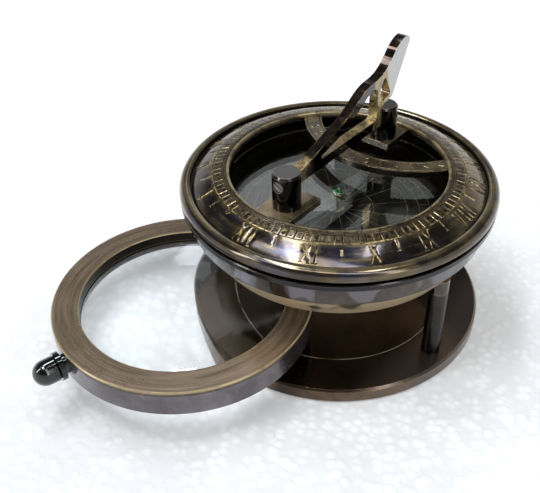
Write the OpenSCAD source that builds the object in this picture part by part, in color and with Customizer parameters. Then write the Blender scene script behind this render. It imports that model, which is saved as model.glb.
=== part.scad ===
// Sundial compass on a pillared stand, with a swing-out magnifier
// The gnomon's hinge runs along Y, and the underside of the base is at z = 0

/* [Base] */
// Width of the base outside the circle of the pillars
base_margin = 4.8; // [3:0.1:8]
// Thickness of the base
base_h = 3.8; // [3.4:0.1:7]
// Diameter of the shallow recess in the base
recess_d = 53.4; // [30:0.2:57]
// Depth of the recess
recess_depth = 0.8; // [0.3:0.1:1.6]
// Bevel of the base's edges
base_bevel = 0.5; // [0.2:0.1:0.9]

/* [Pillars] */
// Distance from the belt of the case in to the centres of the pillars
pillar_inset = 3.4; // [2.4:0.1:3.8]
// Diameter of a pillar
pillar_d = 4.4; // [3.8:0.1:4.8]
// Free height between the base and the case
bay_h = 18.6; // [16.5:0.1:25]
// Direction of the pivot pillar from the centre
pivot_angle = -159.8; // [-163:0.1:-157]
// Direction of the middle pillar
middle_angle = -8; // [-10:0.1:-5]
// Direction of the rear pillar
rear_angle = 88; // [86:1:100]
// Diameter of the screws and of the pivot bolt
screw_d = 2.4; // [1.8:0.1:2.6]
// Diameter of the countersunk heads
screw_head_d = 4.4; // [3.6:0.1:5]
// Height of the countersunk heads
screw_head_h = 1.3; // [1:0.1:1.8]
// Depth of the tapped holes in the pillars
tapped_depth = 5; // [3:0.1:7]
// Length of the tenon at the top of a pillar
tenon_h = 2.8; // [1.5:0.1:3]

/* [Magnifier] */
// Outer diameter of the magnifier frame
ring_d = 62; // [60.5:0.2:62.4]
// Width of the frame from its outside to the clear view
ring_w = 6.4; // [6:0.1:8.4]
// Height of the magnifier frame
ring_h = 7; // [6:0.1:9]
// Height of the frame above the base
ring_lift = 5.3; // [3.6:0.1:8]
// Distance from the outside of the frame in to the pivot
pivot_in = 3.1; // [2.9:0.05:3.3]
// Direction from the pivot to the ring's centre, swung out
swing_angle = 294.9; // [285:0.1:300]
// Thickness of the flange of the cap ring
cap_flange_h = 0.8; // [0.6:0.1:1.2]
// Radial width of the ledge that holds the lens
lens_ledge = 0.9; // [0.6:0.05:1]
// Thickness of the lens at its edge
lens_edge_h = 1.5; // [1:0.1:2]
// Rise of each lens face at its middle
lens_rise = 1.7; // [0.8:0.1:1.8]
// Depth from the top of the frame to the edge of the lens
lens_drop = 2.6; // [1.8:0.1:2.8]
// Direction of the knob from the ring's centre
knob_angle = 256; // [240:1:270]
// Diameter of the domed knob
knob_d = 6; // [4.5:0.1:6.4]
// Length of the domed knob
knob_l = 5.5; // [4:0.1:8]
// Diameter of the disc behind the knob
knob_disc_d = 6.8; // [5:0.1:6.8]
// Thickness of the disc behind the knob
knob_disc_h = 1.2; // [0.8:0.1:2]
// Length of the neck between the frame and the disc
knob_neck_h = 1; // [0.5:0.1:3]
// Diameter of the neck
knob_neck_d = 4.8; // [3:0.1:5]
// Diameter of the stud inside the knob
stud_d = 2; // [1.4:0.1:2.4]

/* [Case] */
// Diameter of the flat underside of the case
case_floor_d = 61.6; // [60:0.2:63]
// Diameter of the case above its bevel
case_belt_d = 70.8; // [70.4:0.2:71.4]
// Height of the bevel
case_bevel_h = 6.7; // [5.4:0.1:8]
// Height of the plain belt
case_belt_h = 5.1; // [3.5:0.1:8]
// Overhang of the flange under the dial over the belt
flange_overhang = 2; // [1.6:0.1:2.5]
// Thickness of the flange
flange_h = 1.5; // [1:0.1:2.5]
// Thickness of the case floor
case_floor_h = 1.8; // [1.4:0.1:2]
// Wall of the case
case_wall = 2.2; // [1.8:0.1:2.5]
// Step from the belt out to the rim that the dial fits over
spigot_step = 0.4; // [0.2:0.05:0.6]
// Wall of that rim
spigot_wall = 1.6; // [1.4:0.05:1.7]
// Height of that rim
spigot_h = 1.2; // [1:0.1:1.4]

/* [Bowl and glass] */
// Diameter of the compass glass
glass_d = 55.6; // [54:0.2:56]
// Thickness of the compass glass
glass_h = 2; // [1.2:0.1:2.4]
// Depth from the bowl's rim to the top of the glass
glass_drop = 1.5; // [1:0.1:2]
// Width of the ledge under the glass
glass_ledge = 1; // [0.6:0.1:1.3]
// Depth of the chamber under the glass
chamber_h = 5.8; // [5.6:0.1:6.4]
// Thickness of the bowl's floor
bowl_floor_h = 1.2; // [0.8:0.1:1.2]
// Wall of the bowl beside the glass
bowl_wall = 1; // [0.8:0.1:1.2]
// Thickness of the bowl's rim
bowl_rim_h = 1; // [0.8:0.1:1.4]
// Wire diameter of the spring ring over the glass
spring_wire_d = 0.8; // [0.5:0.1:1]
// Gap in the spring ring
spring_gap = 3; // [1:0.5:6]

/* [Compass] */
// Thickness of the compass card
card_h = 0.6; // [0.4:0.1:1]
// Length of the needle
needle_l = 44; // [30:1:50]
// Width of the needle at its middle
needle_w = 5; // [4.6:0.1:8]
// Thickness of the needle
needle_h = 0.5; // [0.3:0.1:0.8]
// Diameter of the cap that carries the jewel
hub_d = 3.5; // [3:0.1:4]
// Height of the cap
hub_h = 1.8; // [1.6:0.1:2]
// Diameter of the jewel
jewel_d = 2.7; // [1.6:0.1:2.8]
// Gap between the jewel and the glass
jewel_gap = 0.35; // [0.2:0.05:0.6]
// Diameter of the pivot pin
needle_pin_d = 0.7; // [0.5:0.05:0.9]
// Diameter of the boss at the foot of the pin
pin_boss_d = 4; // [2:0.1:6]
// Height of that boss
pin_boss_h = 0.9; // [0.5:0.1:1.2]

/* [Dial] */
// Overhang of the dial over the belt of the case
dial_overhang = 2.1; // [2:0.1:3]
// Diameter of the opening in the dial
opening_d = 51.2; // [48:0.2:53]
// Width of the beaded edge outside the numeral band
dial_edge_w = 3; // [2.7:0.1:3.4]
// Height of the dial's inner rim over the bowl's rim
dial_rise = 4.5; // [4.2:0.1:6]
// Fall of the numeral band from its inner to its outer edge
dial_crown = 3.2; // [2.4:0.1:3.4]
// Thickness of the dial at its inner rim
dial_h = 1.6; // [1:0.1:2]
// Radius of the bead round the edge
bead_r = 1.7; // [1.5:0.05:1.9]
// Gap between the dial and the flange of the case
dial_gap = 0.4; // [0.2:0.1:0.7]
// Width of the front tongue
tongue_w = 9; // [7.6:0.2:11]
// Length of the front tongue past its post
tongue_past = 3.3; // [2:0.1:6]
// Width of the rear tongue
rear_tongue_w = 7.4; // [6.8:0.2:9]
// Length of the rear tongue past its post
rear_tongue_past = 0.3; // [0:0.1:2]
// Thickness of the tongues and of the hour arc
bridge_h = 1.6; // [1:0.1:2]
// Depth of the tongues under the inner rim
bridge_drop = 0.8; // [0.4:0.1:1]
// Inner radius of the hour arc
arc_r = 22; // [18:0.2:24]
// Width of the hour arc
arc_w = 4.3; // [3:0.1:6]
// Distance from the dial's centre to the arc's centre
arc_offset = 30.6; // [28:0.2:32]

/* [Gnomon] */
// Distance between the centres of the two posts
post_span = 38.6; // [37.4:0.2:39]
// Diameter of a post
post_d = 6.4; // [5.8:0.1:6.6]
// Height of a post
post_h = 8.6; // [8.2:0.1:8.8]
// Height of the hinge over the foot of a post
hinge_h = 6.1; // [5.8:0.1:6.4]
// Bevel at the top of a post
post_bevel = 0.4; // [0.2:0.05:0.6]
// Thickness of the gnomon plate
plate_h = 2.4; // [2.2:0.1:3]
// Diameter of the hinge screws
hinge_d = 1.6; // [1.2:0.05:1.7]
// Diameter of the heads of the hinge screws
hinge_head_d = 2.4; // [2:0.1:2.8]
// Height of the heads of the hinge screws
hinge_head_h = 0.8; // [0.5:0.1:1.2]
// Depth of the screw holes in the gnomon
hinge_depth = 3; // [2:0.1:4]
// Half height of the gnomon's foot at the hinge
foot_r = 1.7; // [1.4:0.1:1.9]
// Height of the gnomon's tip over the hinge
tip_h = 18.2; // [17:0.1:22]
// Distance from the centre to the tip of the gnomon
tip_reach = 26.4; // [25:0.1:28]

/* [Fits] */
// Clearance round a turning shaft, on the radius
run_fit = 0.05; // [0.02:0.01:0.09]
// Clearance of a fixed piece in its seat, on the radius
seat_fit = 0.04; // [0.02:0.01:0.08]
// Gap between pieces that pass each other
pass_gap = 0.15; // [0.08:0.01:0.25]

/* [Hidden] */
$fn = 96;

// Heights of the stack, from the table upwards
bay_z = base_h;
case_z = bay_z + bay_h;
belt_z = case_z + case_bevel_h;
flange_z = belt_z + case_belt_h;
rim_z = flange_z + flange_h;
bowl_rim_z = rim_z + bowl_rim_h;
glass_z = bowl_rim_z - glass_drop - glass_h;
chamber_z = glass_z - chamber_h;
bowl_z = chamber_z - bowl_floor_h;
dial_z = rim_z + dial_gap;
dial_top_z = bowl_rim_z + dial_rise;
bridge_z = dial_top_z - bridge_drop - bridge_h;
post_z = bridge_z + bridge_h;
hinge_z = post_z + hinge_h;

// Places on the stand
pillar_circle_d = case_belt_d - 2 * pillar_inset;
base_d = pillar_circle_d + 2 * base_margin;
pivot_at = pillar_circle_d / 2 * [cos(pivot_angle), sin(pivot_angle)];
middle_at = pillar_circle_d / 2 * [cos(middle_angle), sin(middle_angle)];
rear_at = pillar_circle_d / 2 * [cos(rear_angle), sin(rear_angle)];
pivot_arm = ring_d / 2 - pivot_in;
ring_at = pivot_at + pivot_arm * [cos(swing_angle), sin(swing_angle)];
ring_z = bay_z + ring_lift;
spacer_gap = run_fit;

// Magnifier
view_d = ring_d - 2 * ring_w;
lens_d = view_d + 2 * lens_ledge;
lens_top_z = ring_h - lens_drop;
lens_low_z = lens_top_z - lens_edge_h;
cap_d = lens_d + 2 * lens_ledge;
knob_z = ring_z + ring_h / 2;
stud_in = 1.6;
stud_l = stud_in + knob_neck_h + knob_disc_h + knob_l * 0.55;

// Case, bowl and dial
flange_d = case_belt_d + 2 * flange_overhang;
spigot_d = case_belt_d + 2 * spigot_step;
dial_d = case_belt_d + 2 * dial_overhang;
band_d = dial_d - 2 * dial_edge_w;
belt_flare = 0.4;
case_bore_d = case_belt_d - 2 * case_wall;
bowl_seat_d = spigot_d - 2 * spigot_wall;
bowl_bore_d = glass_d + 2 * seat_fit;
bowl_chamber_d = glass_d - 2 * glass_ledge;
bowl_d = bowl_bore_d + 2 * bowl_wall;
bowl_rim_d = bowl_seat_d - 2 * seat_fit;
bead_z = dial_z + bead_r * 0.7;
spigot_top_z = rim_z + spigot_h;
cover_z = spigot_top_z + 0.1;

// Compass
card_d = bowl_chamber_d - 2 * seat_fit;
card_top_z = chamber_z + card_h;
jewel_rise = 0.35;
hub_top_z = glass_z - jewel_gap - jewel_rise;
hub_z = hub_top_z - hub_h;
needle_z = hub_z + 0.5;
pin_top_z = hub_z + 1;

// Gnomon
post_y = post_span / 2;
plate_end = post_y - post_d / 2 - pass_gap;
hinge_hole_d = hinge_d + 2 * run_fit;
head_hole_d = hinge_head_d + 2 * run_fit;
head_hole_h = hinge_head_h + 0.4;

// Points on an arc round c
function arc(c, r, a0, a1, n = 12) =
    [for (i = [0:n]) let (a = a0 + (a1 - a0) * i / n) c + r * [cos(a), sin(a)]];

// A smooth curve through a row of points, with n steps between each two
function along(a, b, c, d, t) =
    0.5 * (2 * b + (c - a) * t + (2 * a - 5 * b + 4 * c - d) * t * t
    + (3 * b - a - 3 * c + d) * t * t * t);
function curve(p, n = 5) =
    let (m = len(p) - 1)
    [for (i = [0:m - 1], k = [0:n - 1])
        along(p[max(i - 1, 0)], p[i], p[i + 1], p[min(i + 2, m)], k / n), p[m]];

// Height of the numeral band at radius r
function band_height(r) =
    dial_top_z - dial_crown * pow((r - opening_d / 2) / ((band_d - opening_d) / 2), 2);

// A disc with both edges bevelled
module bevelled_disc(d, h, b) {
    rotate_extrude()
        polygon([[0, 0], [d / 2 - b, 0], [d / 2, b], [d / 2, h - b], [d / 2 - b, h], [0, h]]);
}

// A countersunk screw, head down, with its shank pointing up from the origin
module countersunk_screw(shank_l, d = screw_d, head_d = screw_head_d, head_h = screw_head_h) {
    slot_w = head_d / 6;
    slot_h = head_h / 3;
    difference() {
        union() {
            cylinder(d1 = head_d, d2 = d, h = head_h);
            cylinder(d = d, h = shank_l);
        }
        translate([-head_d / 2 - 1, -slot_w / 2, -1])
            cube([head_d + 2, slot_w, slot_h + 1]);
    }
}

// The space that a countersunk screw takes in the plate that it holds
module countersunk_hole(depth, d = screw_d, head_d = screw_head_d, head_h = screw_head_h) {
    gap = 2 * seat_fit;
    cylinder(d1 = head_d + gap, d2 = d + gap, h = head_h);
    translate([0, 0, -1])
        cylinder(d = head_d + gap, h = 1.001);
    cylinder(d = d + gap, h = depth);
}

module base_plate() {
    color([0.42, 0.34, 0.22])
        difference() {
            bevelled_disc(base_d, base_h, base_bevel);
            translate([0, 0, base_h - recess_depth])
                cylinder(d = recess_d, h = recess_depth + 1);
            for (at = [pivot_at, middle_at, rear_at])
                translate([at[0], at[1], 0])
                    countersunk_hole(base_h + 1);
        }
}

module base_screws() {
    color([0.45, 0.38, 0.22])
        for (at = [middle_at, rear_at])
            translate([at[0], at[1], 0])
                countersunk_screw(base_h + tapped_depth - 0.5);
}

// A pillar with a tapped foot and a tenon that enters the case
module pillar(at) {
    translate([at[0], at[1], bay_z])
        difference() {
            union() {
                cylinder(d = pillar_d, h = bay_h);
                cylinder(d = screw_d, h = bay_h + tenon_h);
            }
            translate([0, 0, -1])
                cylinder(d = screw_d + 2 * seat_fit, h = tapped_depth + 1);
        }
}

module middle_pillar() {
    color([0.33, 0.29, 0.26])
        pillar(middle_at);
}

module rear_pillar() {
    color([0.33, 0.29, 0.26])
        pillar(rear_at);
}

// One of the two tubes above and below the magnifier on its pivot
module spacer(z, h) {
    translate([pivot_at[0], pivot_at[1], z])
        difference() {
            cylinder(d = pillar_d, h = h);
            translate([0, 0, -1])
                cylinder(d = screw_d + 2 * seat_fit, h = h + 2);
        }
}

module pivot_lower_spacer() {
    color([0.33, 0.29, 0.26])
        spacer(bay_z, ring_lift - spacer_gap);
}

module pivot_upper_spacer() {
    color([0.33, 0.29, 0.26])
        spacer(ring_z + ring_h + spacer_gap, bay_h - ring_lift - ring_h - spacer_gap);
}

module pivot_bolt() {
    color([0.45, 0.38, 0.22])
        translate([pivot_at[0], pivot_at[1], 0])
            countersunk_screw(case_z + tenon_h);
}

// Turns and moves a child from the ring's own frame to its place
module on_ring() {
    translate([ring_at[0], ring_at[1], ring_z])
        children();
}

// The pivot bore through the frame and the cap ring, in the ring's frame
module ring_bore() {
    hinge_at = pivot_at - ring_at;
    translate([hinge_at[0], hinge_at[1], -1])
        cylinder(d = screw_d + 2 * run_fit, h = ring_h + 2);
}

module magnifier_frame() {
    body_h = ring_h - cap_flange_h;
    low = 0.4;
    color([0.42, 0.33, 0.24])
        on_ring()
            difference() {
                rotate_extrude()
                    polygon([
                        [view_d / 2, low], [view_d / 2 + low, 0], [ring_d / 2 - low, 0],
                        [ring_d / 2, low], [ring_d / 2, body_h],
                        [cap_d / 2 + seat_fit, body_h], [cap_d / 2 + seat_fit, lens_top_z],
                        [lens_d / 2 + seat_fit, lens_top_z],
                        [lens_d / 2 + seat_fit, lens_low_z], [view_d / 2, lens_low_z]
                    ]);
                ring_bore();
                rotate([0, 0, knob_angle])
                    translate([ring_d / 2 - stud_in - 0.1, 0, ring_h / 2])
                        rotate([0, 90, 0])
                            cylinder(d = stud_d + 2 * seat_fit, h = stud_in + 2);
            }
}

module magnifier_cap_ring() {
    edge = 0.25;
    color([0.45, 0.36, 0.26])
        on_ring()
            difference() {
                rotate_extrude()
                    polygon([
                        [view_d / 2, lens_top_z], [cap_d / 2, lens_top_z],
                        [cap_d / 2, ring_h - cap_flange_h], [ring_d / 2, ring_h - cap_flange_h],
                        [ring_d / 2, ring_h - edge], [ring_d / 2 - edge, ring_h],
                        [view_d / 2 + edge, ring_h], [view_d / 2, ring_h - edge]
                    ]);
                ring_bore();
            }
}

// Profile of one lens face: a dome over the clear view, then the flat rim in the frame
function lens_face(rise) =
    let (half = view_d / 2 - pass_gap, r = (half * half + rise * rise) / (2 * rise),
        a = asin(half / r))
    concat(
        [for (i = [0:10]) [r * sin(a * i / 10), r * cos(a * i / 10) - (r - rise)]],
        [[lens_d / 2, 0]]
    );

module magnifier_lens() {
    top = lens_face(lens_rise);
    n = len(top);
    color([0.8, 0.88, 0.84, 0.4])
        on_ring()
            rotate_extrude()
                polygon(concat(
                    [for (i = [n - 1:-1:0]) [top[i][0], lens_top_z + top[i][1]]],
                    [for (i = [0:n - 1]) [top[i][0], lens_low_z - top[i][1]]]
                ));
}

// Turns a child that lies along X from the ring's edge to the knob's place
module at_knob(reach) {
    translate([ring_at[0], ring_at[1], knob_z])
        rotate([0, 0, knob_angle])
            translate([ring_d / 2 + reach, 0, 0])
                rotate([0, 90, 0])
                    children();
}

module knob_stud() {
    color([0.3, 0.3, 0.3])
        at_knob(-stud_in)
            cylinder(d = stud_d, h = stud_l);
}

// The neck and its disc, whose foot follows the round frame
module knob_disc() {
    color([0.2, 0.21, 0.2])
        difference() {
            at_knob(-0.4)
                difference() {
                    union() {
                        cylinder(d = knob_neck_d, h = knob_neck_h + 0.5);
                        translate([0, 0, knob_neck_h + 0.4])
                            cylinder(d = knob_disc_d, h = knob_disc_h);
                    }
                    translate([0, 0, -1])
                        cylinder(d = stud_d + 2 * seat_fit, h = knob_neck_h + knob_disc_h + 3);
                }
            on_ring()
                translate([0, 0, -5])
                    cylinder(d = ring_d, h = ring_h + 10);
        }
}

module magnifier_knob() {
    dome = knob_d / 2;
    waist = 0.35;
    color([0.2, 0.21, 0.2])
        at_knob(knob_neck_h + knob_disc_h)
            difference() {
                rotate_extrude()
                    polygon(concat(
                        [[0, 0], [dome - waist, 0], [dome, waist]],
                        arc([0, knob_l - dome], dome, 0, 90)
                    ));
                translate([0, 0, -1])
                    cylinder(d = stud_d + 2 * seat_fit, h = 1 + knob_l * 0.55 + 0.2);
            }
}

module compass_case() {
    floor_z = case_z + case_floor_h;
    slope = (case_belt_d - case_floor_d) / 2 / case_bevel_h;
    floor_r = case_floor_d / 2 + slope * case_floor_h - case_wall;
    color([0.34, 0.29, 0.24])
        difference() {
            union() {
                rotate_extrude()
                    polygon([
                        [0, case_z], [case_floor_d / 2, case_z], [case_belt_d / 2, belt_z],
                        [case_belt_d / 2 + belt_flare, flange_z], [flange_d / 2 - 0.2, flange_z],
                        [flange_d / 2, flange_z + 0.2], [flange_d / 2, rim_z - 0.2],
                        [flange_d / 2 - 0.2, rim_z], [spigot_d / 2, rim_z],
                        [spigot_d / 2, spigot_top_z], [bowl_seat_d / 2, spigot_top_z],
                        [bowl_seat_d / 2, rim_z], [case_bore_d / 2, rim_z],
                        [case_bore_d / 2, belt_z], [floor_r, floor_z], [0, floor_z]
                    ]);
                for (at = [pivot_at, middle_at, rear_at])
                    translate([at[0], at[1], case_z])
                        cylinder(d = pillar_d, h = tenon_h + 1);
            }
            for (at = [pivot_at, middle_at, rear_at])
                translate([at[0], at[1], case_z - 1])
                    cylinder(d = screw_d + 2 * seat_fit, h = tenon_h + 1.1);
        }
}

module compass_bowl() {
    color([0.12, 0.1, 0.09])
        rotate_extrude()
            polygon([
                [0, bowl_z], [bowl_d / 2 - 0.6, bowl_z], [bowl_d / 2, bowl_z + 0.6],
                [bowl_d / 2, rim_z], [bowl_rim_d / 2, rim_z], [bowl_rim_d / 2, bowl_rim_z],
                [bowl_bore_d / 2, bowl_rim_z], [bowl_bore_d / 2, glass_z],
                [bowl_chamber_d / 2, glass_z], [bowl_chamber_d / 2, chamber_z], [0, chamber_z]
            ]);
}

module compass_card() {
    color([0.22, 0.18, 0.13])
        translate([0, 0, chamber_z])
            difference() {
                cylinder(d = card_d, h = card_h);
                translate([0, 0, -1])
                    cylinder(d = needle_pin_d + 2, h = card_h + 2);
            }
}

// The boss through the card's middle, with the steel point on it
module needle_pivot() {
    point = needle_pin_d;
    color([0.7, 0.6, 0.35])
        rotate_extrude()
            polygon([
                [0, chamber_z], [needle_pin_d / 2 + 1 - seat_fit, chamber_z],
                [needle_pin_d / 2 + 1 - seat_fit, card_top_z], [pin_boss_d / 2, card_top_z],
                [needle_pin_d / 2, card_top_z + pin_boss_h],
                [needle_pin_d / 2, pin_top_z - point], [0, pin_top_z]
            ]);
}

module compass_needle() {
    half = needle_l / 2;
    color([0.08, 0.08, 0.09])
        translate([0, 0, needle_z])
            difference() {
                linear_extrude(needle_h)
                    polygon([
                        [0, half], [-needle_w / 2, half * 0.12], [-needle_w / 2, -half * 0.12],
                        [0, -half], [needle_w / 2, -half * 0.12], [needle_w / 2, half * 0.12]
                    ]);
                translate([0, 0, -1])
                    cylinder(d = hub_d - 0.8, h = needle_h + 2);
            }
}

module needle_cap() {
    color([0.72, 0.6, 0.3])
        difference() {
            union() {
                translate([0, 0, hub_z])
                    cylinder(d = hub_d - 0.8 - 2 * seat_fit, h = hub_h);
                translate([0, 0, needle_z + needle_h])
                    cylinder(d = hub_d, h = hub_top_z - needle_z - needle_h);
            }
            translate([0, 0, hub_z - 1])
                cylinder(d = needle_pin_d + 2 * run_fit, h = pin_top_z - hub_z + 1 + run_fit);
            translate([0, 0, hub_top_z - 0.4])
                cylinder(d = jewel_d + 2 * seat_fit, h = 1);
        }
}

module needle_jewel() {
    half = jewel_d / 2;
    low = hub_top_z - 0.4;
    color([0.05, 0.35, 0.15])
        rotate_extrude()
            polygon(concat(
                [[0, low], [half, low]],
                [for (i = [0:6]) let (a = 15 * i)
                    [half * cos(a), hub_top_z + jewel_rise * sin(a)]]
            ));
}

module compass_glass() {
    color([0.82, 0.9, 0.86, 0.35])
        translate([0, 0, glass_z])
            cylinder(d = glass_d, h = glass_h);
}

// An open ring of wire that springs into the bowl over the glass
module glass_spring_ring() {
    wire = spring_wire_d / 2;
    color([0.5, 0.42, 0.3])
        translate([0, 0, glass_z + glass_h + wire])
            difference() {
                rotate_extrude()
                    translate([glass_d / 2 - wire, 0])
                        circle(r = wire, $fn = 24);
                rotate([0, 0, 200])
                    translate([glass_d / 2 - 3 * wire, -spring_gap / 2, -1])
                        cube([6 * wire, spring_gap, 2]);
            }
}

// A flat bar of the dial's bridges that ends inside the dial's body
// A tongue from the band in to a post and past it
module tongue(w, past) {
    inner_y = post_y - post_d / 2 - past;
    outer_y = (opening_d / 2 + band_d / 2) / 2;
    translate([-w / 2, inner_y, bridge_z])
        cube([w, outer_y - inner_y, bridge_h]);
}

module hour_arc() {
    intersection() {
        translate([0, arc_offset, bridge_z])
            difference() {
                cylinder(r = arc_r + arc_w, h = bridge_h);
                translate([0, 0, -1])
                    cylinder(r = arc_r, h = bridge_h + 2);
            }
        translate([0, 0, bridge_z - 1])
            cylinder(r = opening_d / 2 + 1, h = bridge_h + 2);
    }
}

// The domed dial with its bead, the two tongues and the hour arc
module dial_ring() {
    steps = 10;
    inner = opening_d / 2;
    outer = band_d / 2;
    bead_x = dial_d / 2 - bead_r;
    color([0.3, 0.24, 0.16])
        difference() {
            union() {
                rotate_extrude()
                    polygon(concat(
                        [[inner, dial_top_z - dial_h], [inner, dial_top_z - 0.3]],
                        [for (i = [0:steps])
                            let (r = inner + 0.3 + (outer - inner - 0.3) * i / steps)
                            [r, band_height(r)]],
                        [[outer + 0.25, band_height(outer) - 0.3]],
                        arc([bead_x, bead_z], bead_r, 105, 0),
                        [[dial_d / 2, bead_z - 0.5], [dial_d / 2 - 0.5, dial_z]],
                        [[spigot_d / 2 + seat_fit, dial_z], [spigot_d / 2 + seat_fit, cover_z],
                            [bowl_seat_d / 2 - seat_fit, cover_z],
                            [bowl_seat_d / 2 - seat_fit, bowl_rim_z],
                            [bowl_seat_d / 2 - 1.4, bowl_rim_z],
                            [bowl_seat_d / 2 - 2.6, bowl_rim_z + 1.6],
                            [inner + 1.6, dial_top_z - dial_h - 0.1]]
                    ));
                tongue(rear_tongue_w, rear_tongue_past);
                rotate([0, 0, 180])
                    tongue(tongue_w, tongue_past);
                hour_arc();
            }
            for (side = [-1, 1])
                translate([0, side * post_y, bridge_z])
                    countersunk_hole(bridge_h + 1, hinge_d, hinge_head_d + 0.4, 0.9);
        }
}

// A post with a cross bore for its hinge screw, facing -Y
module post() {
    half = post_d / 2;
    difference() {
        rotate_extrude()
            polygon([
                [0, 0], [half, 0], [half, post_h - post_bevel],
                [half - post_bevel, post_h], [0, post_h]
            ]);
        translate([0, 0, hinge_h])
            rotate([90, 0, 0]) {
                translate([0, 0, -half - 1])
                    cylinder(d = hinge_hole_d, h = post_d + 2);
                translate([0, 0, half - head_hole_h])
                    cylinder(d = head_hole_d, h = head_hole_h + 1);
            }
        translate([0, 0, -1])
            cylinder(d = hinge_d + 2 * seat_fit, h = post_screw_in + 1.2);
    }
}

post_screw_in = hinge_h - hinge_d - 1.2;

module front_post() {
    color([0.32, 0.31, 0.32])
        translate([0, -post_y, post_z])
            post();
}

module rear_post() {
    color([0.32, 0.31, 0.32])
        translate([0, post_y, post_z])
            rotate([0, 0, 180])
                post();
}

module post_screws() {
    color([0.45, 0.38, 0.22])
        for (side = [-1, 1])
            translate([0, side * post_y, bridge_z])
                countersunk_screw(bridge_h + post_screw_in, hinge_d, hinge_head_d + 0.4, 0.9);
}

// Outline of the gnomon as [distance along the hinge, height over it]
// The style rises from the front foot to a waist and swells into a sail
tip = [tip_reach, tip_h - 1.5];
style_edge = [
    [-plate_end, foot_r - 0.5], [-13.2, 1.9], [-8, 3.6], [-4.4, 4.7], [0.6, 6.2],
    [3.6, 7.8], [7.2, 10], [10.2, 11.1], [13.2, 11.4], [16, 12.3],
    [tip_reach - 7.8, tip_h - 3.9], [tip_reach - 5.6, tip_h - 1.6],
    [tip_reach - 3.2, tip_h - 0.2], [tip_reach - 1.4, tip_h], [tip_reach - 0.3, tip_h - 0.6], tip
];
heel_edge = [[20.2, 4.5], [18.4, 4.2], [16.9, 3.8], [plate_end, 2.7]];
window_edge = [
    [-8.2, 1.5], [-3, 2.7], [1.7, 4.4], [5.9, 6.4], [9.7, 8.7], [12.2, 9.4], [13.7, 8.4]
];
bar_x = 13.9;
bar_w = 1.1;
notch_edge = [
    [bar_x + bar_w, 4.2], [bar_x + bar_w, 8.2], [15.5, 9.8], [16.4, 10.7], [17.3, 9.9],
    [18.5, 7.5], [19.3, 5.9], [18.5, 5.4], [17, 5], [15.9, 4.2]
];
sill_h = 0.7;

module gnomon() {
    color([0.36, 0.28, 0.17])
        difference() {
            translate([-plate_h / 2, 0, hinge_z])
                rotate([90, 0, 90])
                    linear_extrude(plate_h)
                        difference() {
                            polygon(concat(
                                [[-plate_end, -foot_r]], curve(style_edge),
                                curve(heel_edge), [[plate_end, -foot_r]]
                            ));
                            polygon(concat(
                                curve(window_edge),
                                [[bar_x, 6.5], [bar_x, sill_h + 0.6], [bar_x - 0.6, sill_h],
                                    [-8.2, sill_h]]
                            ));
                            polygon(curve(notch_edge));
                        }
            for (side = [-1, 1])
                translate([0, side * (plate_end + 1), hinge_z])
                    rotate([side * 90, 0, 0])
                        cylinder(d = hinge_d + 2 * seat_fit, h = hinge_depth + 1);
        }
}

// A cheese-head hinge screw that passes a post and ends in the gnomon
module hinge_screw() {
    reach = post_d - head_hole_h + pass_gap + hinge_depth - 0.1;
    slot_w = hinge_head_d / 5;
    translate([0, -post_y - post_d / 2 + head_hole_h, hinge_z])
        rotate([-90, 0, 0])
            difference() {
                union() {
                    cylinder(d = hinge_d, h = reach);
                    translate([0, 0, -hinge_head_h])
                        cylinder(d = hinge_head_d, h = hinge_head_h);
                }
                rotate([0, 0, 30])
                    translate([-hinge_head_d, -slot_w / 2, -hinge_head_h - 1])
                        cube([2 * hinge_head_d, slot_w, 1 + hinge_head_h / 2]);
            }
}

module front_hinge_screw() {
    color([0.5, 0.48, 0.46])
        hinge_screw();
}

module rear_hinge_screw() {
    color([0.5, 0.48, 0.46])
        rotate([0, 0, 180])
            hinge_screw();
}

base_plate();
base_screws();
middle_pillar();
rear_pillar();
pivot_lower_spacer();
pivot_upper_spacer();
pivot_bolt();
magnifier_frame();
magnifier_cap_ring();
magnifier_lens();
knob_stud();
knob_disc();
magnifier_knob();
compass_case();
compass_bowl();
compass_card();
needle_pivot();
compass_needle();
needle_cap();
needle_jewel();
compass_glass();
glass_spring_ring();
dial_ring();
front_post();
rear_post();
post_screws();
gnomon();
front_hinge_screw();
rear_hinge_screw();
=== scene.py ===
"""The looks of a sundial compass with a swing-out magnifier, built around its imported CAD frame."""
import math
import random

import bmesh
import bpy
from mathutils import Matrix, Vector
from mathutils.geometry import delaunay_2d_cdt


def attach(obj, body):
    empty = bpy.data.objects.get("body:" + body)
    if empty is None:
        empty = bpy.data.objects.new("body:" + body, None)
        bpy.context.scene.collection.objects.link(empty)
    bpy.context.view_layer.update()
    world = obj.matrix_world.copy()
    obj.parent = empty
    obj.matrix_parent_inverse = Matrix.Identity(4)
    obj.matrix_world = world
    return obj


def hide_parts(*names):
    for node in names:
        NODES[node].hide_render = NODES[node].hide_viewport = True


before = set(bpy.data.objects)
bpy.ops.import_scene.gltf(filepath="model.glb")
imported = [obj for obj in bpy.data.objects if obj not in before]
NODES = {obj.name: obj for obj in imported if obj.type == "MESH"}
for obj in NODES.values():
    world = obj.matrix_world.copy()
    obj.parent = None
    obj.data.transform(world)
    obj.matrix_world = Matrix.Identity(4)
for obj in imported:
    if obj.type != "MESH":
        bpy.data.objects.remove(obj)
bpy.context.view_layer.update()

MM = 0.001
TAU = 2 * math.pi
random.seed(7)

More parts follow.
